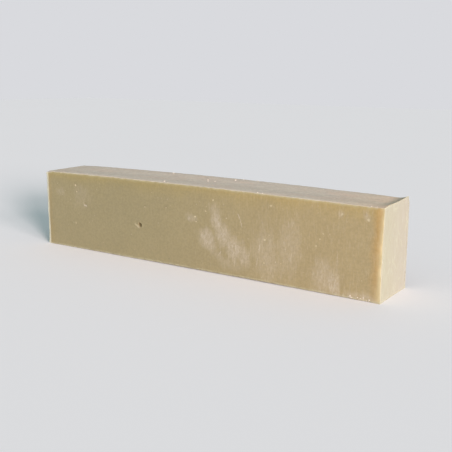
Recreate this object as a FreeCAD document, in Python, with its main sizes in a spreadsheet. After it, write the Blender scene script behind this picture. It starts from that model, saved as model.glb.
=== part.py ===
import FreeCAD, Part
import Sketcher
import os

# One long uncut loaf of handmade soap, poured in an open mould with flat walls.
# Base, sides and ends are the mould's flat walls. The left end leans out a little at the top.
# The top is the poured face: it crowns along the loaf, waves across it, and is drawn up into
# a lip at the right-hand end that is highest at the rear corner.
# Use has left a pit in the front face, a knocked corner and two worn hollows on an edge.
#
# Frame: origin at the middle of the base, +X to the right along the loaf,
# the front face towards -Y, +Z up. All sizes are millimetres and degrees.

V = FreeCAD.Vector
SKETCH_ORIGIN = (-1, 1)

SIZES = (
    ("loaf_length", 388.0, "overall length, along the top edge"),
    ("loaf_width", 60.0, "from the front face to the back face"),
    ("end_height", 80.0, "height of the front top edge at both ends"),
    ("end_lean", 1.2, "how far the left end leans out between the base and the top edge"),
    ("front_crown", 1.5, "rise of the front top edge at mid length"),
    ("back_crown", 3.0, "rise of the back top edge at mid length"),
    ("back_left_rise", 0.6, "rise of the back top edge at the left end"),
    ("back_right_rise", 1.0, "rise of the back top edge at the right end, without the lip"),
    ("lip_run", 18.0, "length of the lip, from the right end"),
    ("lip_front_rise", 0.4, "height of the lip at the front edge"),
    ("lip_back_rise", 1.2, "height of the lip at the back edge"),
    ("front_swell_inset", 8.0, "place of the front swell, from the front face"),
    ("front_swell_rise", 0.5, "height of the front swell"),
    ("back_swell_inset", 16.0, "place of the back swell, from the back face"),
    ("back_swell_rise", 0.2, "height of the back swell"),
    ("trough_drop", 0.3, "depth of the trough between the two swells"),
    ("corner_radius", 1.8, "rounding of the four upright edges"),
    ("top_radius", 1.0, "rounding of the edge round the poured face"),
    ("base_radius", 0.9, "rounding of the edge round the base"),
    ("pit_from_left", 131.2, "middle of the pit, from the left end"),
    ("pit_height", 35.5, "middle of the pit, above the base"),
    ("pit_width", 2.6, "width of the pit"),
    ("pit_tallness", 4.2, "length of the pit along its own slanted axis"),
    ("pit_depth", 1.4, "depth of the pit"),
    ("pit_tilt", 20.0, "slant of the pit, its top towards the left"),
    ("knock_run", 9.0, "length of the knocked corner along the front top edge"),
    ("knock_inset", 5.0, "reach of the knocked corner back over the poured face"),
    ("knock_depth", 1.0, "depth of the knocked corner below the top edge"),
    ("knock_roundness", 6.0, "half height of the round body that knocked the corner"),
    ("wear_roundness", 8.0, "radius across the worn hollows of the front right edge"),
    ("upper_wear_height", 52.0, "middle of the upper hollow, above the base"),
    ("upper_wear_span", 18.0, "length of the upper hollow along the edge"),
    ("upper_wear_depth", 2.0, "depth of the upper hollow, from the sharp edge inwards"),
    ("lower_wear_height", 28.0, "middle of the lower hollow, above the base"),
    ("lower_wear_span", 12.0, "length of the lower hollow along the edge"),
    ("lower_wear_depth", 1.7, "depth of the lower hollow, from the sharp edge inwards"),
    ("overhang", 2.0, "how far the trimming body runs past the loaf on every side"),
)

doc = FreeCAD.newDocument("BarOfSoap")
sheet = doc.addObject("Spreadsheet::Sheet", "Sizes")
for row, (alias, value, meaning) in enumerate(SIZES, start=1):
    sheet.set(f"A{row}", meaning)
    sheet.set(f"B{row}", str(value))
    sheet.setAlias(f"B{row}", alias)
doc.recompute()

body = doc.addObject("PartDesign::Body", "SoapBar")
body.Label = "soap_bar"


def size(alias):
    """Number in the sheet's cell, used for starting shapes that the constraints then fix."""
    return float(sheet.get(alias))


def origin_plane(role):
    """One of the body's own three origin planes."""
    for feature in body.Origin.OriginFeatures:
        if feature.Role == role:
            return feature
    raise RuntimeError(f"no origin plane {role}")


def face_front(feature):
    """Attach a sketch or ball to the upright plane along the loaf, seen from the front."""
    feature.AttachmentSupport = [(origin_plane("XZ_Plane"), "")]
    feature.MapMode = "FlatFace"


def new_sketch(name, forwards="0"):
    """Sketch seen from the front, moved towards the viewer by an expression."""
    sketch = body.newObject("Sketcher::SketchObject", name)
    face_front(sketch)
    sketch.setExpression("AttachmentOffset.Base.z", forwards)
    return sketch


def hold(sketch, name, curve, point, across=None, up=None):
    """Hold a point of a sketch curve at expressions for its distance across and up.

    Each dimension starts at the value that the drawn point already has.
    """
    drawn = sketch.getPoint(curve, point)
    dimensions = (("DistanceX", "across", drawn.x, across), ("DistanceY", "up", drawn.y, up))
    for kind, direction, now, wanted in dimensions:
        if wanted is None:
            continue
        index = sketch.addConstraint(Sketcher.Constraint(kind, *SKETCH_ORIGIN, curve, point, now))
        sketch.renameConstraint(index, f"{name}_{direction}")
        sketch.setExpression(f"Constraints.{name}_{direction}", wanted)


def place_mark(sketch, name, curve, start, across, up):
    """Make a sketch curve pass through a marked point."""
    mark = sketch.addGeometry(Part.Point(start), True)
    sketch.addConstraint(Sketcher.Constraint("PointOnObject", mark, 1, curve))
    hold(sketch, name, mark, 1, across=across, up=up)


def join_chain(sketch, *ends):
    """Join the end of each curve to the start of the next, given as (curve, point) pairs."""
    for first, second in zip(ends[::2], ends[1::2]):
        sketch.addConstraint(Sketcher.Constraint("Coincident", *first, *second))


# The block stands this high before its top is trimmed away.
BLOCK_TOP = (
    "Sizes.end_height + max(Sizes.front_crown; Sizes.back_crown)"
    " + Sizes.front_swell_rise + Sizes.back_swell_rise + Sizes.lip_back_rise + Sizes.overhang"
)
FLAT = 0.01
HALF_LENGTH = "Sizes.loaf_length / 2"
HALF_WIDTH = "Sizes.loaf_width / 2"


def make_block():
    """The mould's inside, seen from the front and carried across the loaf."""
    half = size("loaf_length") / 2
    foot = V(size("end_lean") - half, 0)
    toe = V(half, 0)
    top = size("end_height") + size("back_crown") + size("overhang")
    sketch = new_sketch("MouldOutline")
    base = sketch.addGeometry(Part.LineSegment(foot, toe))
    right = sketch.addGeometry(Part.LineSegment(toe, V(half, top)))
    lid = sketch.addGeometry(Part.LineSegment(V(half, top), V(-half, top)))
    left = sketch.addGeometry(Part.LineSegment(V(-half, top), foot))
    join_chain(sketch, (base, 2), (right, 1), (right, 2), (lid, 1), (lid, 2), (left, 1), (left, 2), (base, 1))
    sketch.addConstraint(Sketcher.Constraint("Vertical", right))
    sketch.addConstraint(Sketcher.Constraint("Horizontal", lid))
    sketch.addConstraint(Sketcher.Constraint("Horizontal", base))
    hold(sketch, "foot", base, 1, across=f"Sizes.end_lean - {HALF_LENGTH}", up="0")
    hold(sketch, "toe", base, 2, across=HALF_LENGTH)
    hold(sketch, "lid", lid, 1, up=BLOCK_TOP)
    edge = V(-half, size("end_height"))
    place_mark(sketch, "left_edge", left, edge, f"-{HALF_LENGTH}", "Sizes.end_height")
    pad = body.newObject("PartDesign::Pad", "PouredBlock")
    pad.Profile = sketch
    pad.SideType = "Symmetric"
    pad.setExpression("Length", "Sizes.loaf_width")


def make_trimming_section(name, from_front, ripple):
    """What is cleared away above the poured face, in one plane along the loaf.

    Its lower side is an arc for the crown and a second arc, tangent to it, for the lip.
    The crown's arc would reach the right end at the edge height; the lip rises from it.
    """
    half = size("loaf_length") / 2
    reach = half + size("overhang")
    low = size("end_height")
    crest = low + size("back_crown")
    roof = crest + size("overhang")
    run = size("lip_run")
    lift = size("lip_back_rise")
    seam = V(half - run, low)
    lip_end = V(reach, low + lift)
    sketch = new_sketch(name, f"{HALF_WIDTH} - ({from_front})")
    crown = sketch.addGeometry(Part.ArcOfCircle(seam, V(0, crest), V(-reach, low)))
    lip = sketch.addGeometry(Part.ArcOfCircle(seam, V(half - run / 2, low + lift / 4), lip_end))
    right = sketch.addGeometry(Part.LineSegment(lip_end, V(reach, roof)))
    lid = sketch.addGeometry(Part.LineSegment(V(reach, roof), V(-reach, roof)))
    left = sketch.addGeometry(Part.LineSegment(V(-reach, roof), V(-reach, low)))
    sketch.addConstraint(Sketcher.Constraint("Tangent", crown, 1, lip, 1))
    join_chain(sketch, (lip, 2), (right, 1), (right, 2), (lid, 1), (lid, 2), (left, 1), (left, 2), (crown, 2))
    sketch.addConstraint(Sketcher.Constraint("Vertical", right))
    sketch.addConstraint(Sketcher.Constraint("Horizontal", lid))
    sketch.addConstraint(Sketcher.Constraint("Vertical", left))
    share = f"({from_front}) / Sizes.loaf_width"
    level = f"Sizes.end_height + ({ripple})"
    left_up = f"{level} + Sizes.back_left_rise * {share}"
    middle_up = f"{level} + Sizes.front_crown + (Sizes.back_crown - Sizes.front_crown) * {share}"
    right_up = f"{level} + Sizes.back_right_rise * {share}"
    lip_rise = f"Sizes.lip_front_rise + (Sizes.lip_back_rise - Sizes.lip_front_rise) * {share}"
    place_mark(sketch, "left_mark", crown, V(-half, low), f"-{HALF_LENGTH}", left_up)
    place_mark(sketch, "middle_mark", crown, V(0, crest), "0", middle_up)
    place_mark(sketch, "right_mark", crown, V(half, low), HALF_LENGTH, right_up)
    place_mark(sketch, "lip_mark", lip, V(half, low + lift), HALF_LENGTH, f"{right_up} + {lip_rise}")
    hold(sketch, "seam", crown, 1, across=f"{HALF_LENGTH} - Sizes.lip_run")
    hold(sketch, "lid", lid, 1, across=f"{HALF_LENGTH} + Sizes.overhang", up=f"{BLOCK_TOP} + Sizes.overhang")
    hold(sketch, "left", lid, 2, across=f"-{HALF_LENGTH} - Sizes.overhang")
    return sketch


def make_poured_face():
    """Trim the block by a body that runs smoothly through five sections across the loaf."""
    back_swell = "Sizes.loaf_width - Sizes.back_swell_inset"
    trough = f"(Sizes.front_swell_inset + {back_swell}) / 2"
    sections = [
        make_trimming_section("FrontEdge", "0", "0"),
        make_trimming_section("FrontSwell", "Sizes.front_swell_inset", "Sizes.front_swell_rise"),
        make_trimming_section("Trough", trough, "-Sizes.trough_drop"),
        make_trimming_section("BackSwell", back_swell, "Sizes.back_swell_rise"),
        make_trimming_section("BackEdge", "Sizes.loaf_width", "0"),
    ]
    loft = body.newObject("PartDesign::SubtractiveLoft", "PouredFace")
    loft.Profile = sections[0]
    loft.Sections = sections[1:]


def edge_names(shape, wanted):
    """Names of a shape's edges that a test picks out."""
    return [f"Edge{number}" for number, edge in enumerate(shape.Edges, start=1) if wanted(edge)]


def add_fillet(name, radius, wanted):
    """Round the edges of the solid so far that a test picks out."""
    doc.recompute()
    before = body.Tip
    fillet = body.newObject("PartDesign::Fillet", name)
    fillet.Base = (before, edge_names(before.Shape, wanted))
    fillet.setExpression("Radius", radius)
    doc.recompute()


def is_upright(edge):
    """An edge that climbs most of the loaf's height."""
    return edge.BoundBox.ZLength > size("end_height") / 2


def is_round_base(edge):
    """An edge that lies in the base, flat on the ground."""
    return edge.BoundBox.ZMax < FLAT


def is_front_top(edge):
    """The front edge of the crown.

    The rounding runs on from it round the whole poured face, whose edges meet smoothly.
    """
    box = edge.BoundBox
    return box.ZMin > size("end_height") / 2 and box.XLength > size("loaf_length") / 2 and box.YMax < 0


def scoop(name, across, up, outwards, reaches, tilt="0"):
    """Take an ellipsoid out of the front of the loaf.

    across and up place its middle as seen from the front, and outwards is how far in front of
    the front face it lies. reaches are its half sizes across, up and through the face.
    """
    ball = body.newObject("PartDesign::SubtractiveEllipsoid", name)
    face_front(ball)
    towards_viewer = V(0, 0, 1)
    any_turn = 1
    ball.AttachmentOffset = FreeCAD.Placement(V(), FreeCAD.Rotation(towards_viewer, any_turn))
    ball.setExpression("AttachmentOffset.Rotation.Angle", tilt)
    ball.setExpression("AttachmentOffset.Base.x", across)
    ball.setExpression("AttachmentOffset.Base.y", up)
    ball.setExpression("AttachmentOffset.Base.z", f"{HALF_WIDTH} + {outwards}")
    ball.setExpression("Radius2", reaches[0])
    ball.setExpression("Radius3", reaches[1])
    ball.setExpression("Radius1", reaches[2])
    doc.recompute()


def make_pit():
    """An air bubble opened in the front face, slanted a little."""
    scoop(
        "Pit",
        f"Sizes.pit_from_left - {HALF_LENGTH}",
        "Sizes.pit_height",
        "0",
        ("Sizes.pit_width / 2", "Sizes.pit_tallness / 2", "Sizes.pit_depth"),
        tilt="Sizes.pit_tilt",
    )


def make_knocked_corner():
    """The front left top corner, pressed down by a rounded thing.

    The ball's middle is above the corner. Where the ball passes the top edge's level, its section
    is smaller than its widest one by the factor narrowing, so run and inset are divided by that.
    """
    narrowing = "sqrt(1 - pow(1 - Sizes.knock_depth / Sizes.knock_roundness; 2))"
    scoop(
        "KnockedCorner",
        f"-{HALF_LENGTH}",
        "Sizes.end_height + Sizes.knock_roundness - Sizes.knock_depth",
        "0",
        (
            f"Sizes.knock_run / {narrowing}",
            "Sizes.knock_roundness",
            f"Sizes.knock_inset / {narrowing}",
        ),
    )


def make_worn_hollow(name, which):
    """A shallow hollow rubbed into the front right upright edge.

    The ball's middle is outside the edge, on the line that halves its corner, and the ball is as
    tall as makes the hollow run out at the ends of its span.
    """
    clear = f"(Sizes.wear_roundness - Sizes.{which}_wear_depth)"
    aside = f"{clear} / sqrt(2)"
    half_tall = f"Sizes.{which}_wear_span / 2 / sqrt(1 - pow({clear} / Sizes.wear_roundness; 2))"
    scoop(
        name,
        f"{HALF_LENGTH} + {aside}",
        f"Sizes.{which}_wear_height",
        aside,
        ("Sizes.wear_roundness", half_tall, "Sizes.wear_roundness"),
    )


def check_all():
    """Stop if any object of the document failed, which a recompute doesn't report by itself."""
    for item in doc.Objects:
        if "Invalid" in item.State or "Error" in item.State:
            raise RuntimeError(f"{item.Name} failed: {item.getStatusString()}")
    if body.Shape.isNull() or not body.Shape.isValid() or len(body.Shape.Solids) != 1:
        raise RuntimeError("the loaf isn't one valid solid")


make_block()
make_poured_face()
add_fillet("UprightEdges", "Sizes.corner_radius", is_upright)
add_fillet("BaseEdges", "Sizes.base_radius", is_round_base)
add_fillet("TopEdges", "Sizes.top_radius", is_front_top)
make_pit()
make_knocked_corner()
make_worn_hollow("UpperWornHollow", "upper")
make_worn_hollow("LowerWornHollow", "lower")
check_all()

os.makedirs("parts", exist_ok=True)
body.Shape.exportStep(f"parts/{body.Label}.step")
print(f"{body.Label}: {body.Shape.Volume / 1000:.1f} cubic centimetres")
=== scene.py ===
import math

import bpy
import numpy as np
from mathutils import Matrix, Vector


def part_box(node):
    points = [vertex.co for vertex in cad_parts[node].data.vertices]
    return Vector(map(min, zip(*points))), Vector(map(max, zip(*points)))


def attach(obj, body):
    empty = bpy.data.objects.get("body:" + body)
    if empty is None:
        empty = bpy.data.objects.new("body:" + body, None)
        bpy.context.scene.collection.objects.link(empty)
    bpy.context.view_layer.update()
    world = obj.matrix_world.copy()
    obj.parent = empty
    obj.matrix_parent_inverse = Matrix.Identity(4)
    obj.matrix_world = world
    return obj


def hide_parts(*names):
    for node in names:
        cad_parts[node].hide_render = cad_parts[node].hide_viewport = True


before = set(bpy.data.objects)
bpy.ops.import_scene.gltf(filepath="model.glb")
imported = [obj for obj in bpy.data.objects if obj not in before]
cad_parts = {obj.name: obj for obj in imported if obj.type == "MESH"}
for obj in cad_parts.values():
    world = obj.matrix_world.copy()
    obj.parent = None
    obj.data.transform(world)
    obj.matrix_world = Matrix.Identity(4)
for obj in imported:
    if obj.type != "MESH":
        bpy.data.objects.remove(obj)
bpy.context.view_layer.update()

# A long uncut loaf of handmade soap on a plain pale floor.
# The loaf is one closed surface: six welded grids of a rounded box, whose points are then moved
# by written formulas for the poured top, the worn edges, the pit and the fine relief.
# Lengths are millimetres in the tables and surface functions, and metres in the materials' ramps.

bl_info = {
    "name": "Soap loaf",
    "version": (1, 0, 0),
    "blender": (4, 5, 0),
    "location": "View3D > Sidebar > Soap loaf",
    "description": "Dresses a loaf of handmade soap with its wear, ash and crumbs",
    "category": "Add Mesh",
}

LOW, HIGH = (np.array(corner) * 1000.0 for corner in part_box("soap_bar"))
MM = 0.001


# Sizes and colours that a user would change

def mm_prop(name, description, default):
    """A property for a length in millimetres."""
    return bpy.props.FloatProperty(name=name, description=description + ", in mm", default=default)


def angle_prop(name, description, degrees):
    """A property for an angle, whose default is given in degrees."""
    return bpy.props.FloatProperty(
        name=name, description=description, subtype="ANGLE", default=math.radians(degrees))


def colour_prop(name, description, default):
    """A property for a colour."""
    return bpy.props.FloatVectorProperty(name=name, description=description, subtype="COLOR", default=default)


class LoafSettings(bpy.types.PropertyGroup):
    """Form and finish of the loaf. Lengths are millimetres."""

    end_height: mm_prop("End height", "Height of the front top edge at both ends", 80.0)
    end_lean: mm_prop("End lean", "How far the left end leans out at the top", 0.9)
    back_lean: mm_prop("Back lean", "How far the right end's back edge leans in at the top", 0.9)
    front_crown: mm_prop("Front crown", "Rise of the front top edge at mid length", 1.5)
    back_crown: mm_prop("Back crown", "Rise of the back top edge at mid length", 3.0)
    back_left_rise: mm_prop("Back left rise", "Rise of the back top edge at the left end", 0.6)
    back_right_rise: mm_prop("Back right rise", "Rise of the back top edge at the right end", 0.5)
    lip_run: mm_prop("Lip run", "Length of the lip at the right end, along the front", 14.0)
    lip_front: mm_prop("Lip front", "Height of the lip at the front edge", 0.5)
    lip_back: mm_prop("Lip back", "Height of the lip at the back edge", 2.6)
    side_radius: mm_prop("Upright edges", "Rounding of the four upright edges", 1.8)
    cut_edge: bpy.props.FloatProperty(
        name="Cut edges", description="Share by which the right end's upright edges are sharper",
        subtype="FACTOR", default=0.42)
    top_radius: mm_prop("Top edges", "Rounding round the poured face", 1.0)
    base_radius: mm_prop("Base edges", "Rounding round the base", 0.9)
    grid_step: mm_prop("Grid step", "Distance between the surface's lines on plain stretches", 1.35)
    moulded: colour_prop("Moulded side", "Colour of the front, back and base", (0.242, 0.214, 0.118))
    cut: colour_prop("Cut end", "Colour of the two ends", (0.317, 0.314, 0.248))
    poured: colour_prop("Poured top", "Colour of the top under its ash", (0.596, 0.521, 0.440))
    ash: colour_prop("Ash", "Colour of ash, scuffs and crumbs", (0.597, 0.542, 0.450))


class StageSettings(bpy.types.PropertyGroup):
    """Floor, light and camera."""

    floor: colour_prop("Floor", "Colour of the floor", (0.853, 0.856, 0.886))
    backdrop: colour_prop("Backdrop", "Colour behind the floor, as the camera sees it", (0.694, 0.701, 0.731))
    sky: bpy.props.FloatProperty(
        name="Sky", description="Strength of the even light from all round", default=0.43)
    sky_colour: colour_prop("Sky colour", "Colour of the even light", (0.82, 1.0, 1.0))
    key: bpy.props.FloatProperty(
        name="Key", description="Strength of the low light from the right, in watts per square metre",
        default=4.55)
    key_bearing: angle_prop("Key bearing", "Turn of the low light from +X towards the front", 34.0)
    key_climb: angle_prop("Key climb", "Angle of the low light above the floor", 11.0)
    key_breadth: angle_prop("Key breadth", "Breadth of the low light as seen from the loaf", 11.0)
    wide: bpy.props.FloatProperty(
        name="Wide light",
        description="Strength of the broad light beside the key, in watts per square metre",
        default=2.24)
    wide_bearing: angle_prop("Wide bearing", "Turn of the broad light from +X towards the front", 22.0)
    wide_climb: angle_prop("Wide climb", "Angle of the broad light above the floor", 16.0)
    wide_breadth: angle_prop("Wide breadth", "Breadth of the broad light as seen from the loaf", 22.0)
    lamp_colour: colour_prop("Lamp colour", "Colour of both lights", (1.0, 0.848, 0.829))
    camera_place: bpy.props.FloatVectorProperty(
        name="Camera place", description="Where the camera stands", subtype="TRANSLATION",
        default=(0.4034, -0.5822, 0.1822))
    camera_bearing: angle_prop("Camera bearing", "Turn of the camera about the upright", 33.253)
    camera_climb: angle_prop("Camera climb", "Angle by which the camera looks down", 11.528)
    camera_roll: angle_prop("Camera roll", "Turn of the picture", 0.681)
    camera_lens: mm_prop("Lens", "Focal length on a 36 mm frame", 58.15)


# Numbers and noise

# Large odd numbers that stir the cells of the noise's lattice.
AXIS_FACTORS = (73856093, 19349663, 83492791)
SEED_FACTOR = 374761393
STIR_FACTOR = 0x9E3779B97F4A7C15
WORD_BITS, KEPT_BITS = 64, 24


def smooth(value, low, high):
    """0 below low, 1 above high, and an S curve between."""
    share = np.clip((value - low) / (high - low), 0.0, 1.0)
    return share * share * (3.0 - 2.0 * share)


def hashed(cell, seed):
    """Even random number from -1 to 1 for each integer cell of a lattice.

    Each coordinate is multiplied by a large odd number, the products are mixed by exclusive or,
    and the result is stirred twice and scaled.
    """
    mixed = np.full(cell.shape[:-1], seed * SEED_FACTOR, np.uint64)
    for axis, factor in enumerate(AXIS_FACTORS):
        mixed ^= cell[..., axis].astype(np.int64).astype(np.uint64) * np.uint64(factor)
    for shift in (13, 17):
        mixed ^= mixed >> np.uint64(shift)
        mixed *= np.uint64(STIR_FACTOR)
    kept = mixed >> np.uint64(WORD_BITS - KEPT_BITS)
    return kept.astype(float) / 2.0 ** (KEPT_BITS - 1) - 1.0


def noise(point, size, seed):
    """Smooth random relief from -1 to 1 whose lumps are size wide, one number or one for each axis.

    The value at a point is the blend of the eight random numbers at the corners of its cell.
    """
    place = point / np.asarray(size, float)
    cell = np.floor(place)
    part = place - cell
    part = part * part * (3.0 - 2.0 * part)
    total = 0.0
    for corner in np.ndindex(2, 2, 2):
        weight = np.prod(np.where(np.array(corner) == 1, part, 1.0 - part), axis=-1)
        total = total + weight * hashed(cell + np.array(corner), seed)
    return total


def summed(point, parts):
    """Several noises added up, each with its amount, the size of its lumps and its seed."""
    return sum(amount * noise(point, size, seed) for amount, size, seed in parts)


# The loaf's surface

# Reach and spacing of the closer lines along the edges and round the pit.
EDGE_LINES, PIT_LINES = (2.0, 0.3), (3.0, 0.35)
# The poured top: heights of its swell from front to back, the run from the left end in which the
# swell sets in, and the share by which the lip is shorter at the back.
SWELL_AT, SWELL_HEIGHTS = (0.0, 0.133, 0.43, 0.73, 1.0), (0.0, 0.5, -0.3, 0.1, 0.0)
SWELL_RUN = (4.0, 50.0)
LIP_SHORTER = 0.3
# Run over which an end's lean fades out.
LEAN_RUN = 40.0
# Height in which an upright edge's rounding turns into that of the base or the top, and reach of
# the right end's sharper edges.
RADIUS_RUN = (1.5, 5.0)
CUT_EDGE_REACH = 9.0
RADIUS_NOISE = ((0.22, 6.0, 11), (0.12, 2.2, 12))
# Relief of the sides, the ends and the top: amount, size of the lumps along x, y and z, seed.
SIDE_RELIEF = ((0.10, (34.0, 30.0, 22.0), 21), (0.03, 5.0, 22))
END_RELIEF = ((0.10, (20.0, 16.0, 20.0), 31), (0.035, (30.0, 1.6, 26.0), 32))
TOP_RELIEF = ((0.10, (5.0, 2.4, 5.0), 44),)
# The top's crust: three such noises, each half as high and half as wide as the one before.
CRUST = tuple((0.88 / 7 / part, (17.0 / part, 5.0 / part, 30.0 / part), 41 + layer)
              for layer, part in enumerate((1, 2, 4)))
# How far each face is set back, so that its relief stays in the frame's box. The top is set back
# further where it has risen.
SIDE_BACK, FRONT_BACK, END_BACK, TOP_BACK = 0.14, 0.12, 0.10, 0.06
RISEN_BACK, RISEN_RUN = 0.20, (1.2, 2.6)
# Nicks along the edges: depth, size and seed of the noise, and the level above which it bites.
NICKS = ((0.5, 3.4, 61, 0.25), (0.10, 1.3, 62, 0.0))
NICK_REACH = (0.2, 2.6)
PIT = {"x": -61.9, "z": 35.5, "half_width": 1.9, "half_height": 2.5, "depth": 0.8, "tilt": 34.0}
# The pit's ragged outline, and the height, place and breadth of its ring. 1 is the outline.
PIT_RAGGED = ((0.16, 0.9, 51),)
RING_HEIGHT, RING_AT, RING_BREADTH = 0.16, 1.3, 0.28
# Steepness of the small hollows, and how dark their painted shade is beside the pit's.
DIMPLE_FALL, DIMPLE_DARKNESS = 1.4, 0.45
# Small hollows of the front face: place along and up, half width, half height, depth.
DIMPLES = (
    (-149.5, 68.3, 1.3, 1.1, 0.30),
    (-147.6, 61.6, 1.1, 1.0, 0.25),
    (-136.0, 49.3, 1.4, 1.1, 0.45),
    (-157.1, 26.9, 1.2, 1.0, 0.30),
    (-55.3, 55.0, 1.1, 0.9, 0.20),
    (-28.8, 57.1, 1.1, 0.9, 0.20),
    (155.9, 70.6, 1.3, 1.1, 0.30),
    (177.2, 73.5, 1.2, 0.9, 0.25),
)
# Hazy scuffs of the front face: place along and up, half width, half height, turn, strength.
SCUFFS = (
    (30.5, 50.0, 6.2, 12.5, 12.0, 0.80),
    (38.5, 36.5, 9.5, 13.0, 26.0, 0.78),
    (50.0, 27.0, 10.5, 13.0, 30.0, 0.80),
    (60.5, 23.0, 7.5, 11.0, 16.0, 0.66),
    (48.0, 12.0, 16.0, 7.0, 0.0, 0.30),
    (20.5, 31.0, 9.0, 12.5, 36.0, 0.80),
    (34.0, 17.0, 7.0, 5.0, -40.0, 0.35),
    (85.0, 26.0, 14.0, 26.0, 12.0, 0.42),
    (107.0, 36.0, 13.0, 28.0, -6.0, 0.40),
    (142.0, 15.0, 12.0, 19.0, 0.0, 0.55),
    (151.0, 10.0, 6.0, 15.0, 8.0, 0.76),
    (2.0, 49.8, 8.0, 3.4, -10.0, 0.45),
    (156.0, 71.0, 3.2, 2.8, 0.0, 0.60),
    (178.5, 72.0, 3.0, 5.0, 20.0, 0.45),
    (-173.0, 59.0, 7.0, 4.0, 0.0, 0.30),
    (-142.0, 58.0, 12.0, 12.0, 30.0, 0.22),
    (176.0, 2.0, 15.0, 4.5, 0.0, 0.70),
)
# Hollows rubbed into the front right upright edge: height of the middle, span, depth.
WORN_HOLLOWS = ((46.0, 15.0, 0.7), (27.5, 11.0, 0.7))
WORN_REACH, WORN_SHARE = 2.4, 0.7
# Knocked front left top corner: reach along, back and down, depth.
KNOCK_RUN, KNOCK_INSET, KNOCK_DROP, KNOCK_DEPTH = 9.0, 5.0, 7.0, 1.0
# Rubbed back right top corner: reach along, across and down, and how far it moves in along x and y.
RUBBED_REACH, RUBBED_MOVE = (6.0, 7.0, 5.0), (0.6, 1.3)
# The front base edge's lift: height, noise on it, reach back and reach up.
LIFT, LIFT_NOISE, LIFT_BACK, LIFT_UP = 0.85, ((0.6, (40.0, 90.0, 90.0), 71),), 7.0, 9.0
# Crumbs on the front base edge: middle of each cluster, and how many it holds.
CRUMB_CLUSTERS = ((75.4, 1), (168.0, 4), (176.0, 4), (183.0, 3))
# Spread of a cluster, height and radius of its crumbs, and the share by which a crumb is stretched.
CRUMB_SPREAD, CRUMB_HEIGHT, CRUMB_RADIUS, CRUMB_STRETCH = 2.2, (0.5, 3.0), (0.40, 0.85), (0.6, 1.25)
CRUMB_SHAPE = (1.25, 1.0, 0.62)
# How far a crumb's middle lies inside the front face and a flake's below the top, and roughness.
CRUMB_IN, FLAKE_SINK, CRUMB_ROUGH = 0.3, 0.1, 0.28
# Dry flakes on the poured face: place along and back, radius.
TOP_FLAKES = (
    (-189.5, -27.0, 0.60), (-184.0, -27.5, 0.50), (-96.0, 2.0, 0.50), (-60.8, 24.0, 0.80),
    (-35.0, -24.5, 0.85), (-28.7, -27.3, 0.55), (-5.4, 7.6, 0.90), (-1.3, 1.8, 0.65), (5.3, 4.3, 0.80),
    (19.7, 19.0, 0.75), (24.4, 26.0, 0.70), (41.0, 26.5, 0.70), (73.0, -28.0, 0.85), (78.5, -28.4, 0.60),
    (110.0, 4.0, 0.50), (141.0, -12.0, 0.50), (181.0, -28.0, 0.70), (186.0, -27.6, 0.55),
)

# Noises of the finish masks.
WANDER = ((1.0, (3.0, 3.0, 5.0), 81), (0.5, 1.5, 82))
DRIFT = ((0.35, (14.0, 14.0, 10.0), 83),)
SCUFF_RAGGED = ((0.26, (5.0, 5.0, 9.0), 84), (0.22, (2.4, 2.4, 5.0), 85))
# Where a scuff starts and ends to fade, as shares of its oval.
SCUFF_FADE = (0.25, 1.38)
# The band of cut colour and painted highlight of the rounded edge beside the right end: where it
# starts to fade, how much sooner near the top, its run and its curve. The left band of the same,
# and the painted rim light, fade between two distances from the left end.
BAND_START, BAND_SOONER, BAND_RUN, BAND_CURVE = 1.6, 1.0, 5.5, 1.6
LEFT_BAND, LEFT_RIM_LIGHT = (1.4, 3.0), (2.2, 4.2)
# Reach of the painted glow of light through the soap under the top edge, beside the right end and
# beside the left end.
GLOW_TOP, GLOW_RIGHT, GLOW_LEFT = 7.5, 8.5, 6.0


def spaced_lines(low, high, step, fine_places):
    """Lines from low to high, step apart on plain stretches and closer at the given places.

    fine_places holds a place, a reach and a finer step for each. The number of lines per
    millimetre is added up along the stretch, and the lines are read off at whole numbers of it.
    """
    at = np.linspace(low, high, 20001)
    crowd = np.full_like(at, 1.0 / step)
    for place, reach, fine in fine_places:
        crowd += (1.0 / fine - 1.0 / step) * np.exp(-(((at - place) / reach) ** 4))
    count = np.concatenate([[0.0], np.cumsum((crowd[1:] + crowd[:-1]) / 2.0 * np.diff(at))])
    whole = int(round(count[-1]))
    return np.interp(np.linspace(0.0, count[-1], whole + 1), count, at)


def grid_quads(number):
    """Four-sided faces between the neighbouring points of a grid of point numbers."""
    return np.stack([number[:-1, :-1], number[1:, :-1], number[1:, 1:], number[:-1, 1:]], -1)


def welded_box(lines):
    """Points and outward four-sided faces of a box surface made of six grids that share edges."""
    points, faces, start = [], [], 0
    for axis in range(3):
        across, up = (axis + 1) % 3, (axis + 2) % 3
        for side in (0, -1):
            first, second = np.meshgrid(lines[across], lines[up], indexing="ij")
            grid = np.empty(first.shape + (3,))
            grid[..., axis] = lines[axis][side]
            grid[..., across] = first
            grid[..., up] = second
            quad = grid_quads(np.arange(first.size).reshape(first.shape) + start)
            faces.append((quad if side else quad[..., ::-1]).reshape(-1, 4))
            points.append(grid.reshape(-1, 3))
            start += first.size
    points = np.concatenate(points)
    _, kept, index = np.unique(points.round(6), axis=0, return_index=True, return_inverse=True)
    return points[kept], index.reshape(-1)[np.concatenate(faces)]


def half_sizes(loaf):
    """Half length, half width and end height of the loaf."""
    half_length, half_width = (HIGH[:2] - LOW[:2]) / 2
    return half_length, half_width, loaf.end_height


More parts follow.
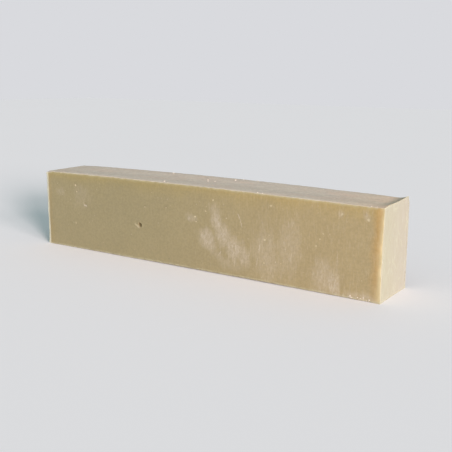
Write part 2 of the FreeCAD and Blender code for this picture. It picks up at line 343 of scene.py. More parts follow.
def poured_rise(loaf, along, back):
    """Height of the poured face above the end height.

    along runs from -1 at the left end to 1 at the right, and back from 0 at the front to 1.
    A parabola through the left, middle and right heights makes the crown. A quartic through five
    heights makes the swells and the trough, which flatten out at the left end. The square of the
    way along the lip lifts the right end. The lip is shorter at the back, and its height climbs
    along a parabola that levels out there.
    """
    half_length = half_sizes(loaf)[0]
    left = loaf.back_left_rise * back
    middle = loaf.front_crown + (loaf.back_crown - loaf.front_crown) * back
    right = loaf.back_right_rise * back
    crown = middle * (1 - along ** 2)
    crown += left * (along ** 2 - along) / 2 + right * (along ** 2 + along) / 2
    quartic = np.polyfit(SWELL_AT, SWELL_HEIGHTS, len(SWELL_AT) - 1)
    swell = np.polyval(quartic, back) * smooth((1.0 + along) * half_length, *SWELL_RUN)
    run = loaf.lip_run * (1.0 - LIP_SHORTER * back)
    into_lip = np.clip(1.0 - (1.0 - along) * half_length / run, 0.0, 1.0)
    lip = loaf.lip_back - (loaf.lip_back - loaf.lip_front) * (1.0 - back) ** 2
    return crown + swell + lip * into_lip ** 2


def oval(point, x, z, half_width, half_height, turn=0.0):
    """Distance from a place on the front face, 1 on the rim of an oval turned by some degrees."""
    angle = math.radians(turn)
    right, up = point[:, 0] - x, point[:, 2] - z
    across = (right * math.cos(angle) + up * math.sin(angle)) / half_width
    along = (up * math.cos(angle) - right * math.sin(angle)) / half_height
    return np.hypot(across, along)


def loaf_box(loaf):
    """Points and faces of a plain box, whose lines stand closer along its edges and at the pit."""
    half_length, half_width, top = half_sizes(loaf)

    def lines(low, high, *more):
        """Lines between two walls, closer at both and at more places."""
        places = ((low, *EDGE_LINES), (high, *EDGE_LINES), *more)
        return spaced_lines(low, high, loaf.grid_step, places)

    return welded_box((
        lines(-half_length, half_length, (PIT["x"], *PIT_LINES)),
        lines(-half_width, half_width),
        lines(0.0, top, (PIT["z"], *PIT_LINES)),
    ))


def rounded(loaf, box):
    """Points of the rounded box, and the outward direction of each.

    A point of the box is taken in to the box that its radius leaves inside, and pushed out again
    by that radius.
    """
    half_length, half_width, top = half_sizes(loaf)
    low_share = 1.0 - smooth(box[:, 2], *RADIUS_RUN)
    high_share = 1.0 - smooth(top - box[:, 2], *RADIUS_RUN)
    radius = loaf.side_radius + (loaf.base_radius - loaf.side_radius) * low_share
    radius = radius + (loaf.top_radius - loaf.side_radius) * high_share
    # The right end was cut last, so its upright edges are sharper.
    near_right = np.exp(-((half_length - box[:, 0]) / CUT_EDGE_REACH) ** 2)
    near_right = near_right * smooth(np.abs(box[:, 1]) / half_width, 0.5, 1.0)
    radius = radius * (1.0 - loaf.cut_edge * near_right) * (1.0 + summed(box, RADIUS_NOISE))
    radius = radius[:, None]
    middle = np.array([0.0, 0.0, top / 2])
    wall = np.array([half_length, half_width, top / 2])
    inner = np.clip(box - middle, radius - wall, wall - radius)
    out = box - middle - inner
    length = np.linalg.norm(out, axis=1, keepdims=True)
    if length.min() <= 0.0:
        raise RuntimeError("a rounding of the loaf is too small for its noise")
    out /= length
    return inner + out * radius + middle, out


def front_hollows(box):
    """Relief of the pit and the small hollows, and how far inside one each point lies, 0 to 1, which sets
    their painted shade.

    The pit is half of a flattened ball with a raised ring round it, and a small hollow is a bell.
    """
    pit = oval(box, PIT["x"], PIT["z"], PIT["half_width"], PIT["half_height"], PIT["tilt"])
    pit = pit * (1.0 + summed(box, PIT_RAGGED))
    bowl = np.sqrt(np.clip(1.0 - pit ** 2, 0.0, 1.0))
    relief = RING_HEIGHT * np.exp(-(((pit - RING_AT) / RING_BREADTH) ** 2)) - PIT["depth"] * bowl
    hollow = np.sqrt(bowl)
    for x, z, half_x, half_z, depth in DIMPLES:
        dip = np.exp(-(oval(box, x, z, half_x, half_z) ** 2) * DIMPLE_FALL)
        relief -= depth * dip
        hollow = np.maximum(hollow, DIMPLE_DARKNESS * dip)
    return relief, hollow


def face_relief(box, out, rise, near_edge):
    """Relief of each point along its outward direction, and the mask of the hollows' painted shade."""
    end, side = np.abs(out[:, 0]) ** 3, np.abs(out[:, 1]) ** 3
    front, top = np.clip(-out[:, 1], 0.0, 1.0) ** 3, np.clip(out[:, 2], 0.0, 1.0) ** 3
    hollows, hollow = front_hollows(box)
    relief = side * (summed(box, SIDE_RELIEF) - SIDE_BACK) + front * (hollows - FRONT_BACK)
    relief += end * (summed(box, END_RELIEF) - END_BACK)
    set_back = TOP_BACK + RISEN_BACK * smooth(rise, *RISEN_RUN)
    relief += top * (summed(box, CRUST + TOP_RELIEF) - set_back)
    for depth, size, seed, level in NICKS:
        relief -= near_edge * depth * np.clip(noise(box, size, seed) - level, 0.0, 1.0)
    return relief, hollow


def wear_down(loaf, box, along, point):
    """Move the points for the knocked and rubbed corners, the worn edge and the lifted base edge."""
    half_length, half_width, top = half_sizes(loaf)
    from_right, from_front = half_length - box[:, 0], box[:, 1] + half_width
    knock = np.hypot((half_length + box[:, 0]) / KNOCK_RUN, from_front / KNOCK_INSET)
    knock = np.clip(1.0 - knock ** 2, 0.0, 1.0) * smooth(box[:, 2], top - KNOCK_DROP, top)
    point[:, 2] -= KNOCK_DEPTH * knock

    on_edge = np.exp(-((np.hypot(from_right, from_front) / WORN_REACH) ** 2))
    for height, span, depth in WORN_HOLLOWS:
        worn = np.clip(1.0 - ((box[:, 2] - height) / (span / 2)) ** 2, 0.0, 1.0) * on_edge
        point[:, 0] -= WORN_SHARE * depth * worn
        point[:, 1] += WORN_SHARE * depth * worn

    from_corner = np.stack([from_right, half_width - box[:, 1], top - box[:, 2]], 1)
    rubbed = np.clip(1.0 - ((from_corner / RUBBED_REACH) ** 2).sum(1), 0.0, 1.0)
    point[:, :2] -= rubbed[:, None] * RUBBED_MOVE

    # The lift is largest at mid length, so a thin shadow runs under the edge.
    under = np.clip(1.0 - from_front / LIFT_BACK, 0.0, 1.0) ** 2
    under = under * (1.0 - smooth(box[:, 2], 0.0, LIFT_UP))
    point[:, 2] += under * LIFT * (1.0 - along ** 2) * (1.0 + summed(box, LIFT_NOISE))
    point[:, 2] = np.maximum(point[:, 2], 0.0)


def loaf_surface(loaf):
    """Points, faces and masks of finish and painted light of the loaf.

    A rounded box takes the poured height at its top, in proportion to the height above the base,
    and its ends lean a little. After that each point moves along its outward direction by the
    relief of its own face, and the worn places are taken in.
    """
    half_length, half_width, top = half_sizes(loaf)
    box, faces = loaf_box(loaf)
    point, out = rounded(loaf, box)

    along, climb = point[:, 0] / half_length, point[:, 2] / top
    back = (point[:, 1] + half_width) / (2 * half_width)
    rise = poured_rise(loaf, along, back)
    point[:, 2] += rise * climb
    at_left = smooth(-point[:, 0], half_length - LEAN_RUN, half_length)
    point[:, 0] += loaf.end_lean * (1.0 - climb) * at_left
    at_right = smooth(point[:, 0], half_length - LEAN_RUN, half_length)
    point[:, 0] -= loaf.back_lean * climb * back * at_right

    # Only a point near an edge lies close to two walls at once.
    gaps = np.sort(np.stack([
        half_length - np.abs(box[:, 0]),
        half_width - np.abs(box[:, 1]),
        np.minimum(box[:, 2], top - box[:, 2]),
    ], axis=1), axis=1)
    near_edge = 1.0 - smooth(gaps[:, 1], *NICK_REACH)
    relief, hollow = face_relief(box, out, rise, near_edge)
    point += out * relief[:, None]
    wear_down(loaf, box, along, point)
    return point, faces, finish_masks(loaf, box, out, near_edge, hollow)


def finish_masks(loaf, box, out, near_edge, hollow):
    """Numbers from 0 to 1 at each point that say which finish, painted glow, shade or highlight shows there.
    """
    half_length, _, top = half_sizes(loaf)
    from_right, from_left, height = half_length - box[:, 0], half_length + box[:, 0], box[:, 2]
    on_front = np.clip(-out[:, 1], 0.0, 1.0)
    wander, drift = summed(box, WANDER), 1.0 + summed(box, DRIFT)
    poured = smooth(out[:, 2] + 0.12 * wander, 0.62, 0.92)

    # The cut end's colour runs on over its upright edges, and less far near the top; the band is
    # partly a painted highlight of the rounded edges.
    band_start = BAND_START - BAND_SOONER * smooth(height, 45.0, 75.0)
    band = 1.0 - (from_right + 0.6 * wander - band_start) / BAND_RUN
    right_band = np.clip(band, 0.0, 1.0) ** BAND_CURVE
    left_band = 1.0 - smooth(from_left + 0.3 * wander, *LEFT_BAND)

    scuff = np.zeros(len(box))
    ragged = 1.0 + summed(box, SCUFF_RAGGED)
    for x, z, half_x, half_z, turn, strength in SCUFFS:
        near = oval(box, x, z, half_x, half_z, turn) * ragged
        scuff = np.maximum(scuff, strength * (1.0 - smooth(near, *SCUFF_FADE)))

    # Rubbed edges, partly wear and partly a painted highlight of the rounded edges: not the right
    # upright ones, and most of all round the base.
    on_rim = np.maximum(smooth(from_right, 0.0, 7.0), smooth(height, top - 5.0, top - 1.0))
    rub = near_edge * (0.65 + 0.35 * wander) * on_rim
    rub = np.maximum(rub, (0.75 + 0.5 * wander) * (1.0 - smooth(height, 0.6, 2.4)))

    # Painted glow of light through the soap beside the right end, and half as much beside the left end.
    beside_end = np.clip(1.0 - (from_right - 3.0) / (GLOW_RIGHT * drift), 0.0, 1.0) ** 1.3
    beside_end = beside_end * smooth(height, -30.0, 45.0)
    beside_end = beside_end + 0.5 * np.exp(-(from_left / (GLOW_LEFT * drift)) ** 1.6)
    return {
        # Painted glow of light through the soap under the top edge.
        "under_top": np.exp(-((top - height) / (GLOW_TOP * drift)) ** 1.4),
        "beside_end": beside_end,
        "cut": np.maximum(right_band, left_band),
        "end_face": smooth(np.abs(out[:, 0]), 0.25, 0.75),
        "poured": poured,
        "scuff": scuff * on_front,
        "rub": np.clip(rub, 0.0, 1.0),
        # Painted rim light on the left upright edge.
        "left_rim": (1.0 - smooth(from_left + 0.3 * wander, *LEFT_RIM_LIGHT)) * (1.0 - poured),
        # Painted shade in the pit and the small hollows.
        "hollow": hollow * on_front,
    }


def crumb_surface(loaf, turns=10, rings=7):
    """Points and faces of small crumbs that stick to the edges and of dry flakes on the top.

    Each crumb is a ball drawn on a grid of turns and heights, flattened, turned about the upright
    and roughened, and all of them are worked out at once.
    """
    half_length, half_width, top = half_sizes(loaf)
    dice = np.random.default_rng(7)
    x = np.repeat(*zip(*CRUMB_CLUSTERS))
    x = x + dice.normal(0.0, CRUMB_SPREAD, len(x))
    crumbs = np.stack([x, np.full_like(x, CRUMB_IN - half_width), dice.uniform(*CRUMB_HEIGHT, len(x))], 1)
    x, y, flake_radius = np.array(TOP_FLAKES).T
    rise = poured_rise(loaf, x / half_length, (y + half_width) / (2 * half_width))
    centre = np.concatenate([crumbs, np.stack([x, y, top + rise - FLAKE_SINK], 1)])
    count = len(centre)
    radius = np.concatenate([dice.uniform(*CRUMB_RADIUS, len(crumbs)), flake_radius])[:, None, None]

    turn = np.arange(turns) * 2 * np.pi / turns
    rise = np.linspace(-np.pi / 2, np.pi / 2, rings)[1:-1, None]
    ring = np.stack([
        np.cos(rise) * np.cos(turn),
        np.cos(rise) * np.sin(turn),
        np.sin(rise) * np.ones(turns),
    ], -1).reshape(-1, 3)
    ball = np.concatenate([ring, [[0, 0, -1.0]], [[0, 0, 1.0]]])
    shape = ball * radius * dice.uniform(*CRUMB_STRETCH, (count, 1, 3)) * CRUMB_SHAPE
    # The noise's lumps are 1 wide on a ball of radius 1.7, so each crumb has a few.
    rough = noise(ball * 1.7 + centre[:, None], 1.0, 91)
    shape *= 1.0 + CRUMB_ROUGH * rough[..., None]
    spin = dice.uniform(0, 2 * np.pi, count)[:, None]
    x = shape[..., 0] * np.cos(spin) - shape[..., 1] * np.sin(spin)
    y = shape[..., 0] * np.sin(spin) + shape[..., 1] * np.cos(spin)
    point = np.stack([x, y, shape[..., 2]], -1) + centre[:, None]
    # Pressed flat where they would stand out of the frame's box.
    point = np.clip(point, LOW + 0.01, HIGH - 0.01)

    belts = rings - 2
    number = np.arange(belts * turns).reshape(belts, turns)
    beside = np.roll(number, -1, axis=1)
    quads = np.stack([number[:-1], beside[:-1], beside[1:], number[1:]], -1).reshape(-1, 4)
    south, north = (np.full(turns, belts * turns + pole) for pole in (0, 1))
    low = np.stack([beside[0], number[0], south, south], -1)
    high = np.stack([number[-1], beside[-1], north, north], -1)
    faces = np.concatenate([quads, low, high])
    faces = (faces[None] + np.arange(count)[:, None, None] * len(ball)).reshape(-1, 4)
    return point.reshape(-1, 3), faces


def mesh_object(name, point, faces, masks=None):
    """Put a surface in millimetres, and its masks, into a mesh object.

    A face whose last two corners are the same is a triangle.
    """
    mesh = bpy.data.meshes.new(name)
    is_triangle = faces[:, 2] == faces[:, 3]
    corners = np.concatenate([faces[~is_triangle].ravel(), faces[is_triangle][:, :3].ravel()])
    totals = np.concatenate([np.full((~is_triangle).sum(), 4), np.full(is_triangle.sum(), 3)])
    starts = np.concatenate([[0], np.cumsum(totals)[:-1]])
    mesh.vertices.add(len(point))
    mesh.vertices.foreach_set("co", (point * MM).astype(np.float32).ravel())
    mesh.loops.add(len(corners))
    mesh.loops.foreach_set("vertex_index", corners.astype(np.int32))
    mesh.polygons.add(len(totals))
    mesh.polygons.foreach_set("loop_start", starts.astype(np.int32))
    mesh.polygons.foreach_set("use_smooth", np.ones(len(totals), bool))
    mesh.update(calc_edges=True)
    for mask, values in (masks or {}).items():
        layer = mesh.attributes.new(mask, "FLOAT", "POINT")
        layer.data.foreach_set("value", values.astype(np.float32))
    if mesh.validate():
        raise RuntimeError(f"the mesh of {name} was not sound")
    item = bpy.data.objects.new(name, mesh)
    bpy.context.scene.collection.objects.link(item)
    return item


def make_piece(name, surface, material):
    """Make a mesh piece that rides on the frame's one body."""
    piece = mesh_object(name, *surface)
    piece.data.materials.append(material)
    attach(piece, "root")
    return piece


# Materials

# Masks of the finish, and of the painted glow, shade and highlights.
MASKS = ("cut", "poured", "scuff", "rub", "hollow", "left_rim", "under_top", "beside_end", "end_face")
# Noises of the soap, as grain() takes them: lumps in each metre, detail, roughness, distortion.
GRAINS = {
    "clouds": (22.0, 4.0),
    "mottle": (430.0, 4.0, 0.7),
    "drag": ((640.0, 640.0, 95.0), 4.0, 0.7),
    "breakup": ((860.0, 860.0, 430.0), 5.0, 0.75),
    "knife": ((60.0, 300.0, 80.0), 4.0, 0.6, 0.9),
    "flake": ((60.0, 170.0, 90.0), 2.0, 0.55, 1.2),
    "sweep": ((75.0, 170.0, 75.0), 5.0, 0.66, 0.8),
    "crust": (380.0, 4.0, 0.7),
    "patches": ((26.0, 60.0, 40.0), 3.0),
    "skin": (900.0, 3.0, 0.6),
}
SOAP_SOCKETS = {
    "IOR": 1.45,
    "Specular IOR Level": 0.35,
    "Subsurface Weight": 0.22,
    "Subsurface Radius": (1.0, 0.92, 0.75),
    "Subsurface Scale": 0.006,
}
# Breadth of the marks' wandering, in metres.
MARK_WANDER = 0.0024


def new_material(name):
    """A material, its node tree, its shader and the Object coordinates."""
    material = bpy.data.materials.new(name)
    material.use_nodes = True
    tree = material.node_tree
    place = add_node(tree, "TexCoord").outputs["Object"]
    return material, tree, tree.nodes["Principled BSDF"], place


def add_node(tree, kind, settings=None, **inputs):
    """Add a shader node. Inputs are named with _ for a space, and hold a value or an output."""
    item = tree.nodes.new("ShaderNode" + kind)
    for key, value in (settings or {}).items():
        setattr(item, key, value)
    for key, value in inputs.items():
        plug(tree, item.inputs[key.replace("_", " ")], value)
    return item


def plug(tree, socket, value):
    """Link an output to a socket, or set the socket's own value."""
    if isinstance(value, bpy.types.NodeSocket):
        tree.links.new(value, socket)
    else:
        socket.default_value = value


def calculate(tree, operation, first, second=0.0, clamp=False):
    """One step of arithmetic on two numbers."""
    item = add_node(tree, "Math", {"operation": operation, "use_clamp": clamp})
    plug(tree, item.inputs[0], first)
    plug(tree, item.inputs[1], second)
    return item.outputs[0]


def blend_colours(tree, share, first, second, kind="MIX"):
    """Mix two colours by a share."""
    item = add_node(tree, "Mix", {"data_type": "RGBA", "blend_type": kind, "clamp_factor": True})
    plug(tree, item.inputs[0], share)
    plug(tree, item.inputs[6], first)
    plug(tree, item.inputs[7], second)
    return item.outputs[2]


def multiply_by(tree, colour, share, red, green, blue):
    """Multiply a colour by a factor for each of its channels, by a share."""
    return blend_colours(tree, share, colour, (red, green, blue, 1.0), kind="MULTIPLY")


def cover(tree, colour, share, strength, over):
    """Lay a colour over another by a share times a strength."""
    return blend_colours(tree, calculate(tree, "MULTIPLY", share, strength), colour, over)


def cover_by_noise(tree, colour, layers):
    """Lay colours over another, each by a noise.

    Each layer holds the noise, its range, the shares at the two ends of the range and the colour.
    """
    for source, low, high, to_low, to_high, over in layers:
        colour = blend_colours(tree, ramp(tree, source, low, high, to_low, to_high), colour, over)
    return colour


def weighted(tree, terms, clamp=False):
    """Sum of several numbers, each times its weight."""
    total = 0.0
    for value, weight in terms:
        total = calculate(tree, "ADD", total, calculate(tree, "MULTIPLY", value, weight), clamp)
    return total


def ramp(tree, value, low, high, to_low=0.0, to_high=1.0):
    """Smooth step of a number from one range to another."""
    item = add_node(tree, "MapRange", {"interpolation_type": "SMOOTHSTEP"}, Value=value)
    for socket, number in zip(item.inputs[1:5], (low, high, to_low, to_high)):
        plug(tree, socket, number)
    return item.outputs[0]


def grain(tree, place, per_metre, detail=3.0, roughness=0.55, distortion=0.0):
    """Noise from 0 to 1 with some number of lumps in each metre, alike or one for each axis."""
    if not isinstance(per_metre, (int, float)):
        place = add_node(tree, "Mapping", Vector=place, Scale=per_metre).outputs[0]
        per_metre = 1.0
    item = add_node(tree, "TexNoise", Vector=place, Scale=per_metre, Detail=detail, Roughness=roughness,
                    Distortion=distortion)
    return item.outputs["Fac"]


def named_grain(tree, place, name):
    """One of the soap's own noises."""
    return grain(tree, place, *GRAINS[name])


def flecks(tree, place, per_metre, size, share):
    """Small dots: 1 inside a dot and 0 outside, in a share of the cells of a cell pattern."""
    item = add_node(tree, "TexVoronoi", Vector=place, Scale=per_metre)
    inside = ramp(tree, item.outputs["Distance"], size, size * 0.45)
    picked = add_node(tree, "SeparateColor", Color=item.outputs["Color"]).outputs[0]
    chosen = ramp(tree, picked, 1.0 - share, 1.0 - share + 0.03)
    return calculate(tree, "MULTIPLY", inside, chosen)


def stroke(tree, place, start, end, width, axes=(0, 2)):
    """A long oval mark between two places on a flat face, in millimetres, 1 on it and 0 off it.

    axes are the two axes that the places are given along. A Mapping node takes the mark's middle
    to the origin, turns its line onto the second axis and divides by its half sizes, so that the
    distance from the origin is 1 on the rim.
    """
    normal = 3 - sum(axes)
    run = (end[0] - start[0], end[1] - start[1])
    middle, turn, half_size = [0.0] * 3, [0.0] * 3, [1.0] * 3
    for axis, first, second in zip(axes, start, end):
        middle[axis] = (first + second) / 2 * MM
    turn[normal] = math.atan2(run[0] if normal == 1 else -run[0], run[1])
    half_size[axes[0]] = width * MM
    half_size[axes[1]] = (width + math.hypot(*run) / 2) * MM
    near = add_node(tree, "Mapping", {"vector_type": "TEXTURE"},
                    Vector=place, Location=middle, Rotation=turn, Scale=half_size)
    apart = add_node(tree, "VectorMath", {"operation": "LENGTH"}, Vector=near.outputs[0])
    return ramp(tree, apart.outputs["Value"], 1.0, 0.5)


def strongest(tree, marks, place, axes=(0, 2)):
    """The strongest of several marks, each with its start, end, width and strength."""
    total = 0.0
    for start, end, width, strength in marks:
        mark = calculate(tree, "MULTIPLY", stroke(tree, place, start, end, width, axes), strength)
        total = calculate(tree, "MAXIMUM", total, mark)
    return total


def as_marks(dots):
    """Dots, each with its two places, radius and strength, as marks that start where they end."""
    return tuple(((first, second), (first, second), radius, strength)
                 for first, second, radius, strength in dots)


def opaque(colour, factor=1.0):
    """A colour with alpha, brightened or darkened by a factor."""
    return tint(colour, factor, factor, factor)


def tint(colour, red, green, blue):
    """A colour with alpha, with its own factor for red, green and blue."""
    return tuple(min(channel * factor, 1.0) for channel, factor in zip(colour, (red, green, blue))) + (1.0,)


# Scratches of the front face: start and end along and up, width, strength.
SCRATCHES = (
    ((53.7, 60.6), (56.6, 54.8), 0.65, 0.70),
    ((56.6, 54.8), (58.7, 48.5), 0.60, 0.60),
    ((78.2, 37.5), (76.9, 26.0), 0.65, 0.75),
    ((76.9, 26.0), (74.1, 12.7), 0.60, 0.60),
    ((32.2, 17.6), (36.4, 23.1), 0.75, 0.60),
    ((106.1, 60.1), (107.3, 53.1), 0.65, 0.70),
    ((103.0, 46.0), (103.6, 34.0), 0.50, 0.40),
    ((153.7, 40.7), (154.4, 25.2), 0.55, 0.45),
    ((149.0, 24.0), (149.8, 6.0), 0.60, 0.60),
    ((152.3, 13.0), (152.8, 3.0), 0.70, 0.80),
    ((178.2, 75.2), (178.4, 71.5), 1.10, 0.60),
    ((-1.4, 51.5), (-1.2, 47.9), 0.80, 0.75),
    ((-137.6, 48.2), (-134.8, 47.5), 1.00, 1.00),
)
# Knife marks of the cut ends: start and end across and up, width, strength.
END_SCRATCHES = (
    ((1.2, 53.5), (1.4, 46.5), 1.30, 0.55),
    ((-3.4, 30.9), (5.1, 22.0), 0.90, 0.40),
    ((8.9, 28.3), (4.2, 20.4), 0.80, 0.35),
    ((-14.6, 65.5), (-14.7, 58.8), 0.90, 0.35),
    ((-10.9, 27.2), (-2.6, 18.4), 0.80, 0.35),
    ((16.2, 35.7), (15.2, 27.0), 0.80, 0.30),
)
# Pale specks of the front face: place along and up, radius, strength.
SPECKS = (
    (-149.8, 68.2, 1.4, 0.95), (-148.3, 61.8, 1.1, 0.75), (-150.5, 27.7, 0.9, 0.55),
    (-55.3, 55.0, 0.9, 0.55), (-28.8, 57.1, 0.9, 0.55), (6.0, 52.3, 1.1, 0.85), (7.2, 47.6, 1.0, 0.80),
    (26.5, 70.1, 0.9, 0.75), (18.2, 59.1, 0.9, 0.60), (88.2, 71.3, 1.2, 0.45), (87.1, 44.6, 0.9, 0.50),
    (82.7, 40.0, 1.5, 0.65), (99.9, 20.6, 0.7, 0.85), (82.6, 18.6, 0.7, 0.85), (156.2, 71.1, 1.5, 0.72),
    (180.0, 69.1, 1.5, 0.55), (133.6, 41.2, 0.9, 0.55), (136.9, 47.7, 0.9, 0.60), (140.1, 53.0, 0.9, 0.50),
)
# Painted highlight on the ridge of soap pushed up beside the pit, on its side facing the light:
# start and end along and up, width, strength.
PIT_RIDGE_HIGHLIGHT = (((-68.6, 36.7), (-61.9, 32.5), 1.25, 0.50),)


def wandering(tree, place):
    """The place moved about by noise, by about half a millimetre, so that no mark is a clean oval."""
    wander = add_node(tree, "TexNoise", Vector=place, Scale=650.0, Detail=2.0).outputs["Color"]
    back = add_node(tree, "Mapping", Vector=place, Location=(-MARK_WANDER / 2,) * 3).outputs[0]
    moved = add_node(tree, "VectorMath", {"operation": "MULTIPLY_ADD"})
    for socket, value in zip(moved.inputs, (wander, (MARK_WANDER,) * 3, back)):
        plug(tree, socket, value)
    return moved.outputs[0]


def front_marks(tree, place, across, mark_place, scuff):
    """Haze of the scuffs and scratches, and pale specks with the painted highlight of the pit's ridge, both
    on the front face alone.

    Fine grain breaks up the scuffs.
    """
    breakup = named_grain(tree, place, "breakup")
    haze = calculate(tree, "MULTIPLY", scuff, ramp(tree, breakup, 0.40, 0.62, 0.32, 1.0))
    haze = calculate(tree, "MAXIMUM", haze, strongest(tree, SCRATCHES, mark_place))
    specks_and_ridge_highlight = strongest(tree, as_marks(SPECKS) + PIT_RIDGE_HIGHLIGHT, mark_place)
    on_front = ramp(tree, across, -0.020, -0.028)
    return (calculate(tree, "MULTIPLY", marks, on_front) for marks in (haze, specks_and_ridge_highlight))


def side_colour(tree, loaf, place, along, mask, clouds, mottle, drag, haze, specks_and_ridge_highlight):
    """Moulded sides: tan with clouds, mottle and upright drag marks, lighter and warmer to the right."""
    to_right = ramp(tree, along, -0.10, 0.18)
    left, right = opaque(loaf.moulded, 1.02), tint(loaf.moulded, 1.27, 1.18, 1.14)
    side = blend_colours(tree, to_right, left, right)
    # Painted glow of light let in through the edges: yellower under the top edge, and orange beside
    # the upright ones.
    side = multiply_by(tree, side, mask["under_top"], 1.12, 1.07, 0.85)
    side = multiply_by(tree, side, mask["beside_end"], 1.20, 0.92, 0.54)
    side = multiply_by(tree, side, ramp(tree, clouds, 0.3, 0.7, 0.0, 0.12), 0.70, 0.70, 0.70)
    side = multiply_by(tree, side, ramp(tree, mottle, 0.36, 0.64, 0.33, 0.0), 0.66, 0.66, 0.66)
    # The drag marks are stronger to the right and in the scuffs.
    dragged = weighted(tree, ((ramp(tree, to_right, 0.0, 1.0, 0.03, 0.10), 1.0), (mask["scuff"], 0.32)))
    side = cover(tree, side, ramp(tree, drag, 0.48, 0.70), dragged, opaque(loaf.ash))
    side = cover(tree, side, haze, 0.45, tint(loaf.ash, 0.88, 0.89, 0.96))
    # Pale specks, and the painted highlight on the pit's ridge.
    side = cover(tree, side, specks_and_ridge_highlight, 0.66, tint(loaf.ash, 1.05, 1.03, 0.86))
    # Dots everywhere, more pale ones than dark: number in each metre, size, share of the cells
    # that have one, strength, colour.
    for per_metre, size, share, strength, over in (
        (95.0, 0.085, 0.16, 0.40, opaque(loaf.ash)),
        (260.0, 0.16, 0.14, 0.25, opaque(loaf.ash)),
        (80.0, 0.075, 0.06, 0.40, opaque(loaf.moulded, 0.55)),
    ):
        side = cover(tree, side, flecks(tree, place, per_metre, size, share), strength, over)
    return side


def end_colour(tree, loaf, place, across, mark_place, clouds, mottle, knife):
    """Cut end: slanted knife streaks, paler flakes and scratches, yellower towards the front."""
    front, back = tint(loaf.cut, 1.01, 1.02, 0.95), tint(loaf.cut, 1.01, 0.98, 1.02)
    end = blend_colours(tree, ramp(tree, across, -0.028, 0.022), front, back)
    flake = named_grain(tree, place, "flake")
    end = cover_by_noise(tree, end, (
        (knife, 0.36, 0.66, 0.55, 0.0, tint(loaf.cut, 0.93, 0.88, 0.84)),
        (clouds, 0.42, 0.75, 0.0, 0.3, tint(loaf.cut, 0.98, 0.93, 0.90)),
        (mottle, 0.40, 0.66, 0.15, 0.0, tint(loaf.cut, 0.90, 0.86, 0.80)),
        (flake, 0.58, 0.68, 0.0, 0.6, tint(loaf.cut, 1.11, 1.13, 1.06)),
    ))
    scratches = strongest(tree, END_SCRATCHES, mark_place, axes=(1, 2))
    return blend_colours(tree, scratches, end, tint(loaf.cut, 1.16, 1.20, 1.10))


def top_colour(tree, loaf, place, along, sweep, crust):
    """Poured top: ash in lengthwise streaks, darker patches and crust, and pale grit."""
    patches = named_grain(tree, place, "patches")
    top = cover_by_noise(tree, opaque(loaf.poured, 0.90), (
        (sweep, 0.30, 0.70, 0.0, 1.0, opaque(loaf.ash, 1.01)),
        (patches, 0.45, 0.70, 0.0, 0.5, tint(loaf.poured, 0.99, 0.88, 0.84)),
        (crust, 0.40, 0.64, 0.0, 0.60, opaque(loaf.poured, 0.76)),
    ))
    # It is warmer at the right-hand end.
    top = multiply_by(tree, top, ramp(tree, along, 0.11, 0.20), 1.07, 0.995, 0.91)
    return cover(tree, top, flecks(tree, place, 130.0, 0.13, 0.20), 0.8, opaque(loaf.ash, 1.28))


def soap_material(loaf):
    """Waxy soap: tan moulded sides, paler cut ends, an ashy poured top, scuffs and specks, with painted glow,
    shade and highlights.
    """
    material, tree, shader, place = new_material("soap_surface")
    along, across, _ = add_node(tree, "SeparateXYZ", Vector=place).outputs
    mask = {name: add_node(tree, "Attribute", {"attribute_name": name}).outputs["Fac"] for name in MASKS}
    clouds, mottle, drag = (named_grain(tree, place, name) for name in ("clouds", "mottle", "drag"))
    mark_place = wandering(tree, place)
    haze, specks_and_ridge_highlight = front_marks(tree, place, across, mark_place, mask["scuff"])
    side = side_colour(tree, loaf, place, along, mask, clouds, mottle, drag, haze, specks_and_ridge_highlight)
    knife = named_grain(tree, place, "knife")
    end = end_colour(tree, loaf, place, across, mark_place, clouds, mottle, knife)
    sweep, crust = (named_grain(tree, place, name) for name in ("sweep", "crust"))
    top = top_colour(tree, loaf, place, along, sweep, crust)

    colour = side
    for name, strength, over in (
        # Cut colour over the upright edges, partly a painted highlight of the rounded edges.
        ("cut", 1.0, tint(loaf.cut, 1.40, 1.22, 0.90)),
        ("end_face", 1.0, end),
        ("poured", 1.0, top),
        # Pale rubbed edges, partly wear and partly a painted highlight.
        ("rub", 0.55, tint(loaf.cut, 1.20, 1.19, 1.06)),
        # Painted rim light on the left upright edge.
        ("left_rim", 0.80, tint(loaf.cut, 1.50, 1.58, 1.66)),
        # Painted shade in the pit and the small hollows.
        ("hollow", 0.95, tint(loaf.moulded, 0.42, 0.34, 0.25)),
    ):
        colour = cover(tree, colour, mask[name], strength, over)
    plug(tree, shader.inputs["Base Color"], colour)

    # Waxy sides, drier scuffs and cut edges, dry ash on top.
    plug(tree, shader.inputs["Roughness"], weighted(tree, (
        (ramp(tree, mottle, 0.3, 0.7, 0.47, 0.58), 1.0),
        (haze, 0.20),
        (mask["cut"], 0.08),
        (mask["poured"], 0.28),
    ), clamp=True))
    for socket, value in SOAP_SOCKETS.items():
        shader.inputs[socket].default_value = value

    # Fine relief: grain, drag marks, knife streaks and the crust of the top.
    knife_marks = calculate(tree, "MULTIPLY", knife, mask["cut"])
    rough_top = calculate(tree, "MULTIPLY", weighted(tree, ((sweep, 1.3), (crust, 1.0))), mask["poured"])
    height = weighted(tree, (
        (named_grain(tree, place, "skin"), 0.20),
        (drag, 0.30),
        (knife_marks, 0.5),
        (rough_top, 1.1),
    ))
    bump = add_node(tree, "Bump", Height=height, Strength=0.55, Distance=0.0003)
    plug(tree, shader.inputs["Normal"], bump.outputs[0])
    return material


